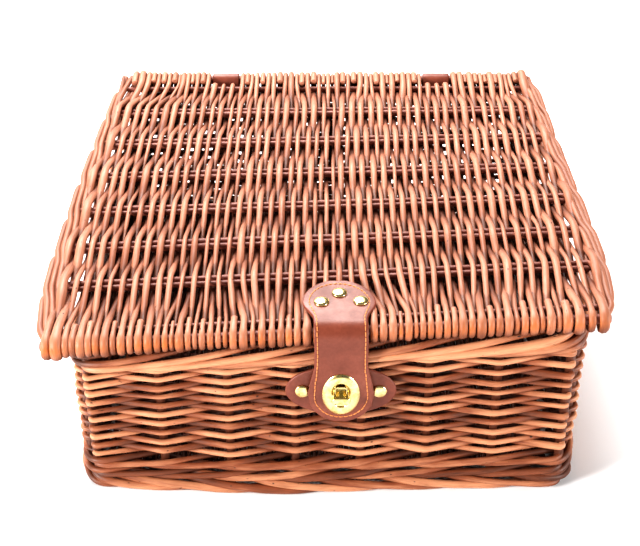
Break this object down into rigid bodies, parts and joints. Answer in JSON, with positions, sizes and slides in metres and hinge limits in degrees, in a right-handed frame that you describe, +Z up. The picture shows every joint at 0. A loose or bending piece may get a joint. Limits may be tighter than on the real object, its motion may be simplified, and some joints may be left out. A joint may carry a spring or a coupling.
{
  "type": "wicker hamper basket",
  "caption": "Low square hamper of brown willow with a hinged woven lid, leather hinge loops and a leather strap that closes on a brass turn lock.",
  "frame": {"origin": "bottom centre of the whole hamper's box, on the surface it stands on", "axes": "+Z up, the front with the strap and lock faces -Y, +X to the right seen from the front"},
  "size_m": [0.4174, 0.4026, 0.1614],
  "materials": {
    "lid_willow": "semi-gloss stained willow",
    "body_willow": "semi-gloss stained willow",
    "stick_willow": "semi-gloss stained willow",
    "leather": "smooth semi-matte",
    "brass": "polished"
  },
  "bodies": {
    "basket": {"base_sticks": "stick_willow", "base_weave": "body_willow", "foot_border_back": "body_willow", "foot_border_front": "body_willow", "foot_border_left": "body_willow", "foot_border_right": "body_willow", "hinge_loop_left": "leather", "hinge_loop_right": "leather", "lock_back_plate": "brass", "lock_base_plate": "brass", "lock_patch": "leather", "patch_burrs": "brass", "patch_rivets": "brass", "rim_border_back": "body_willow", "rim_border_front": "body_willow", "rim_border_left": "body_willow", "rim_border_right": "body_willow", "stakes_back": "stick_willow", "stakes_front": "stick_willow", "stakes_left": "stick_willow", "stakes_right": "stick_willow", "waling_back": "body_willow", "waling_front": "body_willow", "waling_left": "body_willow", "waling_right": "body_willow", "wall_weave_back": "body_willow", "wall_weave_front": "body_willow", "wall_weave_left": "body_willow", "wall_weave_right": "body_willow"},
    "lid": {"lid_back_inner_stick": "stick_willow", "lid_back_stick": "stick_willow", "lid_border_left": "lid_willow", "lid_border_right": "lid_willow", "lid_front_inner_stick": "stick_willow", "lid_front_stick": "stick_willow", "lid_stick_pair_1": "stick_willow", "lid_stick_pair_2": "stick_willow", "lid_stick_pair_3": "stick_willow", "lid_stick_pair_4": "stick_willow", "lid_stick_pair_5": "stick_willow", "lid_stick_pair_6": "stick_willow", "lid_weave": "lid_willow", "strap_burrs": "brass", "strap_rivets": "brass", "strap_tab": "leather"},
    "strap": {"strap_tongue": "leather", "eyelet_plate": "brass", "eyelet_back_plate": "brass"},
    "turn_button": {"button_spindle": "brass", "button_head": "brass"}
  },
  "joints": [
    {"name": "lid_hinge", "type": "hinge", "parent": "basket", "child": "lid", "pos_m": [0, 0.19375, 0.1485], "axis": [-1, 0, 0], "range_deg": [0, 105]},
    {"name": "strap_fold", "type": "hinge", "parent": "lid", "child": "strap", "pos_m": [0.009, -0.19155, 0.1575], "axis": [-1, 0, 0], "range_deg": [0, 105]},
    {"name": "button_turn", "type": "hinge", "parent": "basket", "child": "turn_button", "pos_m": [0.009, -0.19425, 0.1], "axis": [0, -1, 0], "range_deg": [0, 90]}
  ]
}
